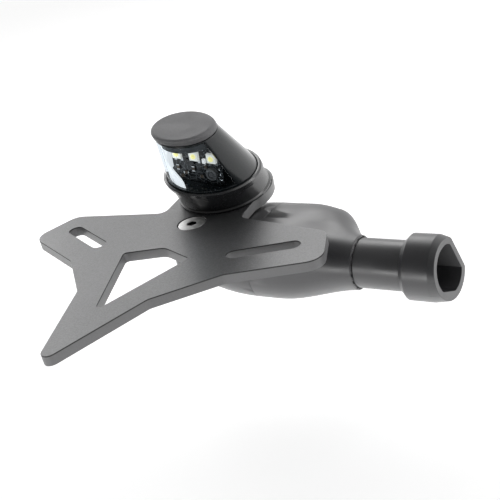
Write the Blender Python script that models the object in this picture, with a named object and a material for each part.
# Licence plate holder: a folded plate bracket with a number plate lamp on a
# rubber boot, carried by a cast arm that ends in a keyed socket collar.
# Run with: blender --background --python part.py
#
# Frame: metres, +Z square to the licence plate's face, X along the arm towards
# the collar, origin on the arm's axis at the mouth of the collar.

import math

import bmesh
import bpy
from mathutils import Matrix, Vector

MM = 0.001

# Clearances
TOUCH_GAP = 0.3 * MM           # between pieces that seat on each other
SCREW_GAP = 0.3 * MM           # round a screw in its hole

# Where the bracket sits on the arm
ARM_REACH = 103.5 * MM         # collar mouth to the bracket's centre line
SCREW_FORWARD = 9.5 * MM       # plate screw in front of the arm's axis
FACE_HEIGHT = 19.0 * MM        # bracket's front face above the arm's axis

# Bracket
SHEET = 4.2 * MM
BEND_AT = 11.0 * MM            # fold line behind the plate screw
BEND_ANGLE = math.radians(5.0)
BEND_RADIUS = 9.0 * MM
TAIL_APEX = 101.5 * MM         # where the tail's two edges would meet
TAIL_TIP_RADIUS = 3.0 * MM
WAIST_HALF = 16.6 * MM
WAIST_FRONT = 56.8 * MM
SHOULDER_HALF = 36.7 * MM
SHOULDER_FRONT = 36.3 * MM
WING_TIP_HALF = 70.2 * MM
WING_TIP_FRONT = 20.9 * MM
WING_BACK_HALF = 62.5 * MM
WING_BACK_FRONT = 0.1 * MM
WING_LOW_RADIUS = 7.0 * MM
WING_BACK_RADIUS = 6.0 * MM
EDGE_BLEND = 5.0 * MM
NECK_HALF = 19.2 * MM
NECK_BACK = 6.9 * MM           # where the wing's back edge reaches the neck
NECK_FILLET = 4.0 * MM
TAB_MARGIN = 0.2 * MM          # tab outside the lamp boot's flange
TAB_DISC_BACK = 29.0 * MM      # disc centre behind the plate screw

# Cut-out between wings and tail
CUTOUT_HALF = 16.0 * MM
CUTOUT_CORNER_FRONT = 27.2 * MM
CUTOUT_PEAK_FRONT = 20.8 * MM
CUTOUT_APEX_FRONT = 67.8 * MM
CUTOUT_RADIUS = 1.6 * MM
CUTOUT_PEAK_RADIUS = 6.0 * MM

# Licence plate slots in the wings
SLOT_WIDTH = 6.3 * MM
SLOT_LENGTH = 29.0 * MM
SLOT_OUT = 43.2 * MM           # slot centre from the centre line
SLOT_FRONT = 17.0 * MM
SLOT_ANGLE = math.radians(25.8)

# Plate screw, M6 countersunk
M6_HEAD_RADIUS = 5.9 * MM
M6_RADIUS = 3.0 * MM
M6_LENGTH = 15.0 * MM
M6_SOCKET_ACROSS = 4.0 * MM
M6_SOCKET_DEPTH = 2.2 * MM
M6_POINT = 0.6 * MM            # chamfer at the screw's tip
M6_HEAD_EDGE = 0.3 * MM        # broken edge round the head
COUNTERSINK_RADIUS = 6.3 * MM

# Arm axis pieces
TUBE_RADIUS = 9.9 * MM
TUBE_BORE_RADIUS = 7.0 * MM
TUBE_SPIGOT = 11.0 * MM        # length held inside the housing
TUBE_LEAD_IN = 0.5 * MM        # chamfer at the held end
SLEEVE_RADIUS = 10.9 * MM      # housing's round end
SLEEVE_END = 33.5 * MM         # housing's end face, back from the collar mouth
SLEEVE_ROUND = 0.9 * MM
SLEEVE_LAND = 1.2 * MM         # round length before the shoulder starts
COLLAR_LENGTH = 14.8 * MM
COLLAR_RADIUS = 12.9 * MM
COLLAR_BACK_CHAMFER = 2.2 * MM
COLLAR_NOSE = 2.8 * MM
COLLAR_FACE_RADIUS = 11.7 * MM
COLLAR_FAR_RADIUS = 12.2 * MM  # face radius on its proud side
COLLAR_WALL = 2.2 * MM
COLLAR_SEAT = 4.0 * MM         # tube's length held inside the collar
MOUTH_SLOPE = 0.178            # rise of the slanted mouth, per distance across it
MOUTH_PROUD = math.radians(-45.0)   # side that stands proud, from +Y towards +Z
FACE_FLAT = 9.2 * MM           # outer flat's distance from the arm's axis
BORE_FLATS = ((math.radians(18.0), 6.9 * MM), (math.radians(-117.0), 8.3 * MM))

# Cast housing: a broad shell under the bracket that narrows into the sleeve
HOUSING_LEFT = 77.5 * MM       # seam to the collar mouth
HOUSING_BACK = 30.9 * MM       # reach behind the arm's axis
HOUSING_FRONT = 16.0 * MM
HOUSING_DROP = 15.9 * MM       # below the arm's axis
HOUSING_RISE = 14.2 * MM       # above the arm's axis
HOUSING_HUMP = 0.23            # extra rise at the back edge, as a share
HOUSING_POWER = 2.6            # squareness of the sections, 2 is an ellipse
SHOULDER_SPAN = (0.58, 1.04)   # where the back edge sweeps in, as shares of the length
TOP_SPAN = (0.32, 1.0)         # where the top falls to the sleeve
UNDER_SPAN = (0.22, 1.1)       # where the front and the underside rise to it
FOOT_LEFT_RADIUS = 13.5 * MM   # foot's round end about the plate screw
FOOT_LAND_RADIUS = 10.5 * MM   # flat land that the bracket is clamped on
FOOT_END_SIZE = 0.18           # foot's last section, as a share of its first
RELIEF_CLEARANCE = 1.6 * MM    # foot's pocket round the lamp's screw heads
SEAM_PIN_RADIUS = 2.0 * MM
SEAM_PIN_LENGTH = 14.0 * MM
SEAM_PIN_OUT = 21.0 * MM       # rear pin behind the arm's axis
SEAM_PIN_FRONT = 10.5 * MM     # front pin before the arm's axis, to clear the tube
SEAM_PIN_DROP = 6.0 * MM

# Number plate lamp, in its own frame: it leans with the tab and a little sideways
LAMP_FOOT_BACK = 29.2 * MM     # lamp centre line on the tab, behind the plate screw
LAMP_RAKE = 0.54               # forward lean of the centre line, per height
LAMP_LEAN = math.radians(8.0)  # sideways, towards the collar
LAMP_BASE_RADIUS = 19.3 * MM
LAMP_WALL = 1.5 * MM
LAMP_BASE_THICK = 2.5 * MM
BOOT_LIP_WALL = 1.3 * MM
BOOT_NECK_STEP = 0.5 * MM      # neck outside the lamp base
BOOT_FLANGE_STEP = 1.9 * MM    # foot flange outside the lamp base
BOOT_FLANGE = 1.8 * MM
BOOT_LEDGE = 1.6 * MM          # inward ledge that the lamp stands on
BOOT_FLOOR = 6.4 * MM          # height of the hollow's floor
BOOT_LIP_LOW = 11.8 * MM
BOOT_TOP = 14.7 * MM
LENS_WALL = 1.2 * MM
CAP_UNDER = 40.2 * MM
CAP_THICK = 3.3 * MM
CAP_RADIUS = 12.9 * MM
CAP_EDGE = 1.6 * MM            # rounding between the cap's side and face
SHELL_TOP_STEP = 0.3 * MM      # shell's top inside the cap's edge
WINDOW_HALF_ANGLE = math.radians(62.0)
WINDOW_SILL = 1.1 * MM         # above the boot's lip
WINDOW_HEAD = 1.5 * MM         # below the cap
LENS_TUCK = 1.0 * MM           # lens behind the shell above and below the window

# Lamp circuit board and what it carries
BOARD_THICK = 1.2 * MM
BOARD_FORWARD = 18.2 * MM      # board's front face before the lamp's foot centre
BOARD_SIDE_GAP = 1.2 * MM
BOARD_TOP_GAP = 6.5 * MM       # below the cap
LED_PITCH = 8.2 * MM
LED_DROP = 6.4 * MM            # LED centres below the board's top edge
LED_SIZE = 4.2 * MM
LED_THICK = 1.4 * MM

# Behind the tab: two M4 screws with washers, and the lamp lead's grommet
M4_RADIUS = 2.0 * MM
M4_HEAD_RADIUS = 3.8 * MM
M4_HEAD_HEIGHT = 2.6 * MM
M4_SOCKET_ACROSS = 2.5 * MM
M4_SOCKET_DEPTH = 1.6 * MM
LAMP_SCREW_OUT = 11.0 * MM
WASHER_RADIUS = 4.6 * MM
WASHER_THICK = 1.0 * MM
GROMMET_HOLE = 3.6 * MM
GROMMET_BORE = 2.0 * MM
GROMMET_FLANGE = 5.2 * MM
GROMMET_THICK = 1.6 * MM

ROUND_STEPS = 72

# Sizes that follow from those above
COLLAR_BORE_RADIUS = COLLAR_FACE_RADIUS - COLLAR_WALL
SHELL_TOP_RADIUS = CAP_RADIUS - SHELL_TOP_STEP
CAP_TOP = CAP_UNDER + CAP_THICK
BOOT_RADIUS = LAMP_BASE_RADIUS + BOOT_FLANGE_STEP
TAB_DISC_RADIUS = BOOT_RADIUS + TAB_MARGIN
WINDOW_LOW = BOOT_TOP + WINDOW_SILL
WINDOW_HIGH = CAP_UNDER - WINDOW_HEAD
BOARD_LOW = BOOT_LIP_LOW + LAMP_BASE_THICK + TOUCH_GAP
BOARD_HIGH = CAP_UNDER - BOARD_TOP_GAP
LED_HEIGHT = BOARD_HIGH - LED_DROP


def clear_scene():
    for old in list(bpy.data.objects):
        bpy.data.objects.remove(old, do_unlink=True)


def make_material(name, colour, roughness, metallic):
    material = bpy.data.materials.new(name)
    material.use_nodes = True
    shader = material.node_tree.nodes["Principled BSDF"]
    shader.inputs["Base Color"].default_value = (*colour, 1.0)
    shader.inputs["Roughness"].default_value = roughness
    shader.inputs["Metallic"].default_value = metallic
    material.diffuse_color = (*colour, 1.0)
    return material


def make_object(name, mesh_builder, finish, parent=None, smooth_angle=35.0):
    """Turns a bmesh into a named object with its own material."""
    bmesh.ops.recalc_face_normals(mesh_builder, faces=mesh_builder.faces)
    mesh = bpy.data.meshes.new(name)
    mesh_builder.to_mesh(mesh)
    mesh_builder.free()
    mesh.shade_smooth()
    mesh.set_sharp_from_angle(angle=math.radians(smooth_angle))
    piece = bpy.data.objects.new(name, mesh)
    bpy.context.scene.collection.objects.link(piece)
    if finish:
        mesh.materials.append(make_material(name, *finish))
    else:
        piece.hide_render = True
        piece.display_type = "WIRE"
    if parent:
        piece.parent = parent
    return piece


def skin(sections, wrap=False):
    """A closed skin over a row of rings that all have the same point count."""
    made = bmesh.new()
    rings = [[made.verts.new(p) for p in ring] for ring in sections]
    pairs = list(zip(rings, rings[1:]))
    if wrap:
        pairs.append((rings[-1], rings[0]))
    else:
        made.faces.new(reversed(rings[0]))
        made.faces.new(rings[-1])
    for low, high in pairs:
        count = len(low)
        for k in range(count):
            n = (k + 1) % count
            made.faces.new((low[k], low[n], high[n], high[k]))
    return made


def prism(outline, low, high):
    """An outline in the XY plane drawn out from one height to another."""
    return skin([[Vector((x, y, low)) for x, y in outline],
                 [Vector((x, y, high)) for x, y in outline]])


def turned(profile, axis="Z", centre=(0.0, 0.0, 0.0), steps=ROUND_STEPS):
    """A solid turned from (radius, height) points listed end to end."""
    turn = Matrix.Rotation(math.radians(90.0), 4, "Y") if axis == "X" else Matrix.Identity(4)
    place = Matrix.Translation(centre) @ turn
    rings = []
    for radius, height in profile:
        ring = []
        for k in range(steps):
            angle = 2.0 * math.pi * k / steps
            ring.append(place @ Vector((radius * math.cos(angle), radius * math.sin(angle), height)))
        rings.append(ring)
    return skin(rings)


def turned_hollow(profile, axis="Z", centre=(0.0, 0.0, 0.0), steps=ROUND_STEPS):
    """A ring-shaped solid turned from a closed (radius, height) profile."""
    turn = Matrix.Rotation(math.radians(90.0), 4, "Y") if axis == "X" else Matrix.Identity(4)
    place = Matrix.Translation(centre) @ turn
    rings = []
    for k in range(steps):
        angle = 2.0 * math.pi * k / steps
        rings.append([place @ Vector((r * math.cos(angle), r * math.sin(angle), z)) for r, z in profile])
    return skin(rings, wrap=True)


def rounded(corners, steps=6):
    """A closed outline whose (x, y, radius) corners are rounded with arcs."""
    points = []
    count = len(corners)
    for i, (x, y, radius) in enumerate(corners):
        here = Vector((x, y))
        before = Vector(corners[i - 1][:2]) - here
        after = Vector(corners[(i + 1) % count][:2]) - here
        if radius <= 0.0:
            points.append((x, y))
            continue
        before.normalize()
        after.normalize()
        half = before.angle(after) / 2.0
        centre = here + (before + after).normalized() * (radius / math.sin(half))
        start = here + before * (radius / math.tan(half)) - centre
        end = here + after * (radius / math.tan(half)) - centre
        sweep = start.angle_signed(end)
        for k in range(steps + 1):
            spoke = start.copy()
            spoke.rotate(Matrix.Rotation(-sweep * k / steps, 2))
            points.append(tuple(centre + spoke))
    return points


def hexagon(across_flats, x=0.0):
    corner = across_flats / math.sqrt(3.0)
    angles = [math.pi * k / 3.0 for k in range(6)]
    return [(x + corner * math.cos(a), corner * math.sin(a)) for a in angles]


def boolean(piece, cutter, operation="DIFFERENCE"):
    step = piece.modifiers.new(cutter.name, "BOOLEAN")
    step.operation = operation
    step.solver = "EXACT"
    step.object = cutter


def make_cutter(name, mesh_builder, parent=None):
    return make_object("cut_" + name, mesh_builder, None, parent)


def make_anchor(name, location, rotation=(0.0, 0.0, 0.0), parent=None):
    anchor = bpy.data.objects.new(name, None)
    bpy.context.scene.collection.objects.link(anchor)
    anchor.location = location
    anchor.rotation_euler = rotation
    anchor.parent = parent
    return anchor


def mirrored(half):
    """Completes a right-hand half outline, listed front to back."""
    left = [(-corner[0],) + tuple(corner[1:]) for corner in reversed(half) if abs(corner[0]) > 1e-9]
    return half + left


def tab_height(back):
    """Height of the tab's front face at a distance behind the plate screw."""
    return (back - BEND_AT) * math.tan(BEND_ANGLE)


# Finishes: colour, roughness, metallic
POWDER_COAT = ((0.075, 0.076, 0.080), 0.62, 0.0)
CAST_COAT = ((0.060, 0.061, 0.066), 0.50, 0.0)
STAINLESS = ((0.62, 0.62, 0.62), 0.25, 1.0)
RUBBER = ((0.010, 0.011, 0.013), 0.30, 0.0)
GLOSS_BLACK = ((0.006, 0.010, 0.013), 0.12, 0.0)
MATT_CAP = ((0.085, 0.085, 0.090), 0.55, 0.0)
CLEAR = ((0.95, 0.97, 0.98), 0.05, 0.0)
BOARD = ((0.012, 0.014, 0.016), 0.45, 0.0)
LED_WHITE = ((0.85, 0.85, 0.80), 0.35, 0.0)


def bracket_outline():
    half = [
        (0.0, -TAIL_APEX, TAIL_TIP_RADIUS),
        (WAIST_HALF, -WAIST_FRONT, EDGE_BLEND),
        (SHOULDER_HALF, -SHOULDER_FRONT, EDGE_BLEND),
        (WING_TIP_HALF, -WING_TIP_FRONT, WING_LOW_RADIUS),
        (WING_BACK_HALF, -WING_BACK_FRONT, WING_BACK_RADIUS),
        (NECK_HALF, NECK_BACK, NECK_FILLET),
    ]
    meet = math.acos(NECK_HALF / TAB_DISC_RADIUS)
    steps = 14
    for k in range(steps + 1):
        angle = -meet + (math.pi / 2.0 + meet) * k / steps
        x = TAB_DISC_RADIUS * math.cos(angle)
        y = TAB_DISC_BACK + TAB_DISC_RADIUS * math.sin(angle)
        half.append((0.0 if k == steps else x, y, 0.0))
    return rounded(mirrored(half))


def bracket_sheet():
    """The folded sheet's edge profile, drawn across its whole width."""
    front = [Vector((-TAIL_APEX, 0.0))]
    back = [Vector((-TAIL_APEX, -SHEET))]
    run = BEND_RADIUS * math.tan(BEND_ANGLE / 2.0)
    centre = Vector((BEND_AT - run, BEND_RADIUS))
    for k in range(5):
        angle = BEND_ANGLE * k / 4.0
        spoke = Vector((math.sin(angle), -math.cos(angle)))
        front.append(centre + spoke * BEND_RADIUS)
        back.append(centre + spoke * (BEND_RADIUS + SHEET))
    reach = TAB_DISC_BACK + TAB_DISC_RADIUS + SHEET
    along = Vector((math.cos(BEND_ANGLE), math.sin(BEND_ANGLE)))
    front.append(Vector((BEND_AT, 0.0)) + along * reach)
    back.append(front[-1] + Vector((math.sin(BEND_ANGLE), -math.cos(BEND_ANGLE))) * SHEET)
    profile = front + back[::-1]
    wide = WING_TIP_HALF + SHEET
    return skin([[Vector((-wide, p.x, p.y)) for p in profile], [Vector((wide, p.x, p.y)) for p in profile]])


def slot_outline(side):
    centre = Vector((side * SLOT_OUT, -SLOT_FRONT))
    reach = (SLOT_LENGTH - SLOT_WIDTH) / 2.0
    points = []
    for end in (1, -1):
        for k in range(11):
            angle = -math.pi / 2.0 + math.pi * k / 10.0 + (0.0 if end > 0 else math.pi)
            spot = Vector((math.cos(angle), math.sin(angle))) * SLOT_WIDTH / 2.0 + Vector((end * reach, 0.0))
            spot.rotate(Matrix.Rotation(side * SLOT_ANGLE, 2))
            points.append(tuple(centre + spot))
    return points


def make_bracket(parent, tab_origin):
    high, low = 3.0 * SHEET, -3.0 * SHEET
    bracket = make_object("plate_bracket", bracket_sheet(), POWDER_COAT, parent)
    boolean(bracket, make_cutter("bracket_outline", prism(bracket_outline(), low, high), parent), "INTERSECT")
    window = rounded(mirrored([
        (0.0, -CUTOUT_APEX_FRONT, CUTOUT_RADIUS),
        (CUTOUT_HALF, -CUTOUT_CORNER_FRONT, CUTOUT_RADIUS),
        (0.0, -CUTOUT_PEAK_FRONT, CUTOUT_PEAK_RADIUS),
    ]), 4)
    boolean(bracket, make_cutter("bracket_window", prism(window, low, high), parent))
    for side, word in ((1, "right"), (-1, "left")):
        boolean(bracket, make_cutter("slot_" + word, prism(slot_outline(side), low, high), parent))
    sink = COUNTERSINK_RADIUS - M6_RADIUS - SCREW_GAP
    hole = M6_RADIUS + SCREW_GAP
    profile = [(hole, low), (hole, -sink), (COUNTERSINK_RADIUS, 0.0), (COUNTERSINK_RADIUS, high)]
    boolean(bracket, make_cutter("countersink", turned(profile, steps=48), parent))
    for word, side in (("left", -1), ("right", 1)):
        x = side * LAMP_SCREW_OUT
        boolean(bracket, tab_hole("tab_screw_" + word, M4_RADIUS + SCREW_GAP, x, tab_origin))
    boolean(bracket, tab_hole("tab_lead", GROMMET_HOLE + TOUCH_GAP, 0.0, tab_origin))
    return bracket


def make_plate_screw(parent):
    """Countersunk M6 screw with a hexagon socket; its head sits just below the face."""
    drop = (COUNTERSINK_RADIUS - M6_HEAD_RADIUS)
    profile = [
        (M6_RADIUS - M6_POINT, -M6_LENGTH),
        (M6_RADIUS, -M6_LENGTH + M6_POINT),
        (M6_RADIUS, -drop - (M6_HEAD_RADIUS - M6_RADIUS)),
        (M6_HEAD_RADIUS, -drop),
        (M6_HEAD_RADIUS - M6_HEAD_EDGE, -drop + M6_HEAD_EDGE),
    ]
    screw = make_object("plate_screw", turned(profile, steps=48), STAINLESS, parent)
    socket = prism(hexagon(M6_SOCKET_ACROSS), -M6_SOCKET_DEPTH, M6_HEAD_RADIUS)
    boolean(screw, make_cutter("screw_socket", socket, parent))
    return screw


def housing_ring(x, back, front, rise, drop, power, hump=0.0, steps=56):
    """One section of the casting: a superellipse whose four reaches differ, humped at the back."""
    ring = []
    for k in range(steps):
        angle = 2.0 * math.pi * k / steps
        c, s = math.cos(angle), math.sin(angle)
        y = (back if c > 0 else front) * math.copysign(abs(c) ** (2.0 / power), c)
        z = (rise if s > 0 else drop) * math.copysign(abs(s) ** (2.0 / power), s)
        if s > 0 and y > 0:
            z *= 1.0 + hump * y / back
        ring.append(Vector((x, y, z)))
    return ring


def blend(a, b, t):
    return a + (b - a) * t


def eased(t, start, end):
    """Runs smoothly from 0 to 1 while t goes from start to end."""
    share = min(1.0, max(0.0, (t - start) / (end - start)))
    return share * share * (3.0 - 2.0 * share)


def seam_pin_cutter(name):
    """Holes for both seam pins, a clearance larger than the pins."""
    reach = SEAM_PIN_LENGTH / 2.0 + TOUCH_GAP
    holes = []
    for word, y in (("back", SEAM_PIN_OUT), ("front", -SEAM_PIN_FRONT)):
        hole = [(SEAM_PIN_RADIUS + TOUCH_GAP, -reach), (SEAM_PIN_RADIUS + TOUCH_GAP, reach)]
        centre = (-HOUSING_LEFT - TOUCH_GAP / 2.0, y, -SEAM_PIN_DROP)
        holes.append(make_cutter(name + "_" + word, turned(hole, axis="X", centre=centre, steps=24)))
    return holes


def make_housing():
    """Cast shell: broad at the seam, then a swept shoulder that curls in to the sleeve."""
    end = SLEEVE_RADIUS
    seam, sleeve = -HOUSING_LEFT, -SLEEVE_END - SLEEVE_LAND
    rings = []
    steps = 24
    for k in range(steps + 1):
        t = k / steps
        spans = (SHOULDER_SPAN, TOP_SPAN, UNDER_SPAN)
        shoulder, top, under = (eased(t, *span) / eased(1.0, *span) for span in spans)
        rings.append(housing_ring(
            blend(seam, sleeve, t),
            blend(HOUSING_BACK, end, shoulder),
            blend(HOUSING_FRONT, end, under),
            blend(HOUSING_RISE, end, top),
            blend(HOUSING_DROP, end, under),
            blend(HOUSING_POWER, 2.0, top),
            blend(HOUSING_HUMP, 0.0, top)))
    rings.append(housing_ring(-SLEEVE_END - SLEEVE_ROUND, end, end, end, end, 2.0))
    small = end - SLEEVE_ROUND
    rings.append(housing_ring(-SLEEVE_END, small, small, small, small, 2.0))
    housing = make_object("arm_housing", skin(rings), CAST_COAT)
    bore = TUBE_RADIUS + TOUCH_GAP
    seat = [(bore, -SLEEVE_END - TUBE_SPIGOT - TOUCH_GAP), (bore, 0.0)]
    boolean(housing, make_cutter("tube_seat", turned(seat, axis="X")))
    for hole in seam_pin_cutter("housing_pin"):
        boolean(housing, hole)
    return housing


def make_foot(tab_origin):
    """Cast foot under the bracket: carries the plate screw and closes the housing."""
    seam = -HOUSING_LEFT - TOUCH_GAP
    screw_x, screw_y = -ARM_REACH, -SCREW_FORWARD
    left = screw_x - FOOT_LEFT_RADIUS
    rings = []
    steps = 12
    for k in range(steps + 1):
        angle = math.pi / 2.0 * k / steps
        grow = math.sin(angle)
        size = max(FOOT_END_SIZE, grow)
        rings.append(housing_ring(
            left + (seam - left) * (1.0 - math.cos(angle)),
            HOUSING_BACK * size,
            HOUSING_FRONT * size,
            HOUSING_RISE,
            HOUSING_DROP * max(FOOT_END_SIZE / 3.0, grow),
            HOUSING_POWER,
            HOUSING_HUMP * size))
    foot = make_object("arm_foot", skin(rings), CAST_COAT)
    land_top = FACE_HEIGHT - SHEET - TOUCH_GAP
    edge = SLEEVE_ROUND / 2.0
    land = [(FOOT_LAND_RADIUS, 0.0), (FOOT_LAND_RADIUS, land_top - edge), (FOOT_LAND_RADIUS - edge, land_top)]
    boolean(foot, make_cutter("foot_land", turned(land, centre=(screw_x, screw_y, 0.0), steps=48)), "UNION")
    hole = [(M6_RADIUS + SCREW_GAP, -M6_LENGTH - SHEET), (M6_RADIUS + SCREW_GAP, FACE_HEIGHT)]
    place = (screw_x, screw_y, FACE_HEIGHT)
    boolean(foot, make_cutter("foot_screw_hole", turned(hole, centre=place, steps=32)))
    for pin_hole in seam_pin_cutter("foot_pin"):
        boolean(foot, pin_hole)
    depth = SHEET + WASHER_THICK + M4_HEAD_HEIGHT + RELIEF_CLEARANCE
    reach = LAMP_SCREW_OUT + WASHER_RADIUS + RELIEF_CLEARANCE
    relief = [(reach, -depth), (reach, SHEET)]
    boolean(foot, make_cutter("foot_relief", turned(relief), tab_origin))
    return foot


def make_seam_pins():
    """Two dowel pins that line the foot up with the housing across the seam."""
    chamfer = SEAM_PIN_RADIUS / 5.0
    half = SEAM_PIN_LENGTH / 2.0
    for word, y in (("back", SEAM_PIN_OUT), ("front", -SEAM_PIN_FRONT)):
        profile = [
            (SEAM_PIN_RADIUS - chamfer, -half), (SEAM_PIN_RADIUS, chamfer - half),
            (SEAM_PIN_RADIUS, half - chamfer), (SEAM_PIN_RADIUS - chamfer, half),
        ]
        centre = (-HOUSING_LEFT - TOUCH_GAP / 2.0, y, -SEAM_PIN_DROP)
        make_object("seam_pin_" + word, turned(profile, axis="X", centre=centre, steps=24), STAINLESS)


def make_tube():
    end = -COLLAR_LENGTH + COLLAR_SEAT
    start = -SLEEVE_END - TUBE_SPIGOT
    profile = [
        (TUBE_BORE_RADIUS, start), (TUBE_RADIUS - TUBE_LEAD_IN, start), (TUBE_RADIUS, start + TUBE_LEAD_IN),
        (TUBE_RADIUS, end), (TUBE_BORE_RADIUS, end),
    ]
    return make_object("arm_tube", turned_hollow(profile, axis="X"), CAST_COAT)


def flatted(radius, flats, height, steps=ROUND_STEPS):
    """A ring round the arm's axis, cut by flats; its height along X may vary round it."""
    ring = []
    for k in range(steps):
        angle = 2.0 * math.pi * k / steps
        reach = radius(angle) if callable(radius) else radius
        for facing_angle, distance in flats:
            facing = math.cos(angle - facing_angle)
            if facing > 0.2:
                reach = min(reach, distance / facing)
        y, z = reach * math.cos(angle), reach * math.sin(angle)
        ring.append(Vector((height(y, z) if callable(height) else height, y, z)))
    return ring


def mouth_height(y, z):
    """The collar's mouth is a slanted plane; it stands proud on the far, lower side."""
    across = y * math.cos(MOUTH_PROUD) + z * math.sin(MOUTH_PROUD)
    return MOUTH_SLOPE * (across + COLLAR_FACE_RADIUS * math.sqrt(0.5))


def mouth_radius(angle):
    share = (1.0 + math.cos(angle - MOUTH_PROUD)) / 2.0
    return blend(COLLAR_FACE_RADIUS, COLLAR_FAR_RADIUS, share)


def make_collar():
    """Socket collar: turned body, a slanted flatted mouth and a bore with two keying flats."""
    back = -COLLAR_LENGTH
    chamfer_radius = COLLAR_RADIUS - COLLAR_BACK_CHAMFER
    face_flat = ((BORE_FLATS[0][0], FACE_FLAT),)
    rings = [
        flatted(chamfer_radius, (), back),
        flatted(COLLAR_RADIUS, (), back + COLLAR_BACK_CHAMFER),
        flatted(COLLAR_RADIUS, (), -COLLAR_NOSE),
        flatted(mouth_radius, face_flat, mouth_height),
    ]
    collar = make_object("socket_collar", skin(rings), CAST_COAT)
    seat_radius = TUBE_RADIUS + TOUCH_GAP
    seat = [(seat_radius, back - COLLAR_SEAT), (seat_radius, back + COLLAR_SEAT + TOUCH_GAP)]
    boolean(collar, make_cutter("collar_seat", turned(seat, axis="X")))
    bore = skin([flatted(COLLAR_BORE_RADIUS, BORE_FLATS, end) for end in (back, COLLAR_LENGTH)])
    boolean(collar, make_cutter("collar_bore", bore))
    return collar


def lamp_ring(radius, height, low=None, steps=ROUND_STEPS):
    """A level ring about the lamp's raked centre line, or one lying on the tab."""
    ring = []
    for k in range(steps):
        angle = 2.0 * math.pi * k / steps
        x = radius * math.cos(angle)
        z = height if low is None else x * math.tan(LAMP_LEAN) + low
        ring.append(Vector((x, radius * math.sin(angle) - LAMP_RAKE * z, z)))
    return ring


def raked_solid(profile):
    return skin([lamp_ring(r, z) for r, z in profile])


def raked_hollow(profile):
    """A ring-shaped solid about the raked centre line, from a closed profile."""
    columns = [lamp_ring(r, z) for r, z in profile]
    return skin([[column[k] for column in columns] for k in range(ROUND_STEPS)], wrap=True)


def shell_radius(height):
    """Outer radius of the lamp body at a height over the tab."""
    t = max(0.0, (height - BOOT_TOP) / (CAP_UNDER - BOOT_TOP))
    return blend(LAMP_BASE_RADIUS, SHELL_TOP_RADIUS, t)


def tab_hole(name, radius, x, tab_origin):
    """A cutter square to the tab that goes through it and the boot's floor."""
    profile = [(radius, -2.0 * SHEET), (radius, BOOT_FLOOR + SHEET)]
    return make_cutter(name, turned(profile, centre=(x, 0.0, 0.0), steps=32), tab_origin)


def make_boot(tab_origin, lamp_origin):
    """Rubber boot: a wedge-shaped foot on the tab, a neck and a lip round the lamp."""
    inner = LAMP_BASE_RADIUS + TOUCH_GAP
    neck = LAMP_BASE_RADIUS + BOOT_NECK_STEP
    lip = inner + BOOT_LIP_WALL
    edge = BOOT_LIP_WALL / 2.0
    ledge = inner - BOOT_LEDGE
    sections = [
        lamp_ring(BOOT_RADIUS, 0.0, low=TOUCH_GAP),
        lamp_ring(BOOT_RADIUS, 0.0, low=BOOT_FLANGE - edge),
        lamp_ring(BOOT_RADIUS - edge, 0.0, low=BOOT_FLANGE),
        lamp_ring(neck + edge, 0.0, low=BOOT_FLANGE + BOOT_LEDGE),
        lamp_ring(neck, BOOT_LIP_LOW - edge),
        lamp_ring(lip, BOOT_LIP_LOW),
        lamp_ring(lip, BOOT_TOP - edge),
        lamp_ring(lip - edge, BOOT_TOP),
        lamp_ring(inner, BOOT_TOP),
        lamp_ring(inner, BOOT_LIP_LOW - TOUCH_GAP),
        lamp_ring(ledge, BOOT_LIP_LOW - TOUCH_GAP),
        lamp_ring(ledge, BOOT_FLOOR),
    ]
    boot = make_object("lamp_boot", skin(sections), RUBBER, lamp_origin)
    for word, side in (("left", -1), ("right", 1)):
        x = side * LAMP_SCREW_OUT
        boolean(boot, tab_hole("boot_screw_" + word, M4_RADIUS + SCREW_GAP, x, tab_origin))
    boolean(boot, tab_hole("boot_lead", GROMMET_HOLE + TOUCH_GAP, 0.0, tab_origin))
    return boot


def window_cutter(name, parent, grow):
    """A wedge about the lamp's centre line that opens the front of the shell."""
    outline = []
    reach = 2.0 * LAMP_BASE_RADIUS
    half = WINDOW_HALF_ANGLE + grow / LAMP_BASE_RADIUS
    steps = 8
    for k in range(steps + 1):
        angle = -math.pi / 2.0 - half + 2.0 * half * k / steps
        outline.append(Vector((reach * math.cos(angle), reach * math.sin(angle))))
    outline.append(Vector((0.0, 0.0)))
    rings = []
    for height in (WINDOW_LOW - grow, WINDOW_HIGH + grow):
        rings.append([Vector((p.x, p.y - LAMP_RAKE * height, height)) for p in outline])
    return make_cutter(name, skin(rings), parent)


def make_shell(parent):
    low = BOOT_LIP_LOW
    top = CAP_UNDER - TOUCH_GAP
    profile = [
        (shell_radius(low), low), (shell_radius(BOOT_TOP), BOOT_TOP), (shell_radius(top), top),
        (shell_radius(top) - LAMP_WALL, top), (shell_radius(BOOT_TOP) - LAMP_WALL, BOOT_TOP),
        (shell_radius(low) - LAMP_WALL, low),
    ]
    shell = make_object("lamp_shell", raked_hollow(profile), GLOSS_BLACK, parent)
    boolean(shell, window_cutter("shell_window", parent, TOUCH_GAP))
    return shell


def make_lens(parent):
    """Clear lens that fills the window flush with the shell."""
    low, top = WINDOW_LOW - LENS_TUCK, WINDOW_HIGH + LENS_TUCK
    profile = [
        (shell_radius(low), low), (shell_radius(top), top),
        (shell_radius(top) - LENS_WALL, top), (shell_radius(low) - LENS_WALL, low),
    ]
    lens = make_object("lamp_lens", raked_hollow(profile), CLEAR, parent)
    boolean(lens, window_cutter("lens_window", parent, 0.0), "INTERSECT")
    return lens


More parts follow.
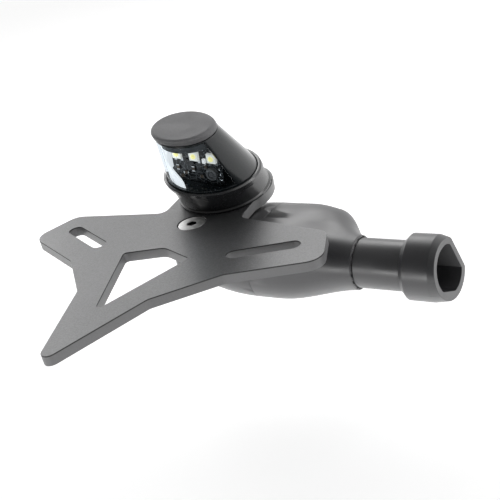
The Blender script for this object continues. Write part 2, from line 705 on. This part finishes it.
def make_cap(parent):
    face = CAP_RADIUS - CAP_EDGE
    under = CAP_EDGE / 4.0
    profile = [(CAP_RADIUS - under, CAP_UNDER), (CAP_RADIUS, CAP_UNDER + under)]
    steps = 5
    for k in range(steps + 1):
        angle = math.pi / 2.0 * k / steps
        profile.append((face + CAP_EDGE * math.cos(angle), CAP_TOP - CAP_EDGE + CAP_EDGE * math.sin(angle)))
    return make_object("lamp_cap", raked_solid(profile), MATT_CAP, parent)


def box(x0, x1, y0, y1, z0, z1):
    return prism([(x0, y0), (x1, y0), (x1, y1), (x0, y1)], z0, z1)


def make_lamp_inside(tab_origin, lamp_origin):
    inside = LAMP_BASE_RADIUS - LAMP_WALL - TOUCH_GAP
    base = [(inside, BOOT_LIP_LOW), (inside, BOOT_LIP_LOW + LAMP_BASE_THICK)]
    plate = make_object("lamp_base", raked_solid(base), GLOSS_BLACK, lamp_origin)
    reach = 2.0 * BOOT_LIP_LOW
    for word, side in (("left", -1), ("right", 1)):
        hole = [(M4_RADIUS + SCREW_GAP, 0.0), (M4_RADIUS + SCREW_GAP, reach)]
        cutter = turned(hole, centre=(side * LAMP_SCREW_OUT, 0.0, 0.0), steps=32)
        boolean(plate, make_cutter("base_screw_" + word, cutter, tab_origin))
    front = -BOARD_FORWARD
    half = shell_radius(BOARD_HIGH) - LAMP_WALL - BOARD_SIDE_GAP
    board = box(-half, half, front, front + BOARD_THICK, BOARD_LOW, BOARD_HIGH)
    make_object("led_board", board, BOARD, lamp_origin)
    half = LED_SIZE / 2.0
    for word, side in (("left", -1), ("centre", 0), ("right", 1)):
        x = side * LED_PITCH
        back = front - TOUCH_GAP
        body = box(x - half, x + half, back - LED_THICK, back, LED_HEIGHT - half, LED_HEIGHT + half)
        make_object("led_" + word, body, LED_WHITE, lamp_origin)


def make_tab_fixings(tab_origin):
    """Two screws with washers that hold the lamp from behind the tab, and the lead's grommet."""
    under = -SHEET - TOUCH_GAP
    seat = under - WASHER_THICK - TOUCH_GAP
    tip = (BOOT_LIP_LOW + LAMP_BASE_THICK) * math.cos(LAMP_LEAN)
    edge = M4_RADIUS / 4.0
    low = seat - M4_HEAD_HEIGHT
    hole = M4_RADIUS + SCREW_GAP
    washer = [
        (hole, under - WASHER_THICK), (WASHER_RADIUS, under - WASHER_THICK),
        (WASHER_RADIUS, under), (hole, under),
    ]
    profile = [
        (M4_HEAD_RADIUS - edge, low), (M4_HEAD_RADIUS, low + edge), (M4_HEAD_RADIUS, seat),
        (M4_RADIUS, seat), (M4_RADIUS, tip - edge), (M4_RADIUS - edge, tip),
    ]
    for word, side in (("left", -1), ("right", 1)):
        x = side * LAMP_SCREW_OUT
        ring = turned_hollow(washer, centre=(x, 0.0, 0.0), steps=32)
        make_object("lamp_washer_" + word, ring, STAINLESS, tab_origin)
        shank = turned(profile, centre=(x, 0.0, 0.0), steps=32)
        screw = make_object("lamp_screw_" + word, shank, STAINLESS, tab_origin)
        socket = prism(hexagon(M4_SOCKET_ACROSS, x), low - edge, low + M4_SOCKET_DEPTH)
        boolean(screw, make_cutter("lamp_socket_" + word, socket, tab_origin))
    grommet = [
        (GROMMET_BORE, under - GROMMET_THICK), (GROMMET_FLANGE - edge, under - GROMMET_THICK),
        (GROMMET_FLANGE, under - GROMMET_THICK / 2.0), (GROMMET_FLANGE, under),
        (GROMMET_HOLE, under), (GROMMET_HOLE, BOOT_FLOOR), (GROMMET_BORE, BOOT_FLOOR),
    ]
    make_object("lead_grommet", turned_hollow(grommet, steps=32), RUBBER, tab_origin)


def main():
    clear_scene()
    bracket_origin = make_anchor("bracket_origin", (-ARM_REACH, -SCREW_FORWARD, FACE_HEIGHT))
    tab_place = (0.0, LAMP_FOOT_BACK, tab_height(LAMP_FOOT_BACK))
    tab_origin = make_anchor("tab_origin", tab_place, (BEND_ANGLE, 0.0, 0.0), bracket_origin)
    lamp_origin = make_anchor("lamp_origin", (0.0, 0.0, 0.0), (0.0, LAMP_LEAN, 0.0), tab_origin)
    make_bracket(bracket_origin, tab_origin)
    make_plate_screw(bracket_origin)
    make_housing()
    make_foot(tab_origin)
    make_seam_pins()
    make_tube()
    make_collar()
    make_boot(tab_origin, lamp_origin)
    make_shell(lamp_origin)
    make_lens(lamp_origin)
    make_cap(lamp_origin)
    make_lamp_inside(tab_origin, lamp_origin)
    make_tab_fixings(tab_origin)


main()
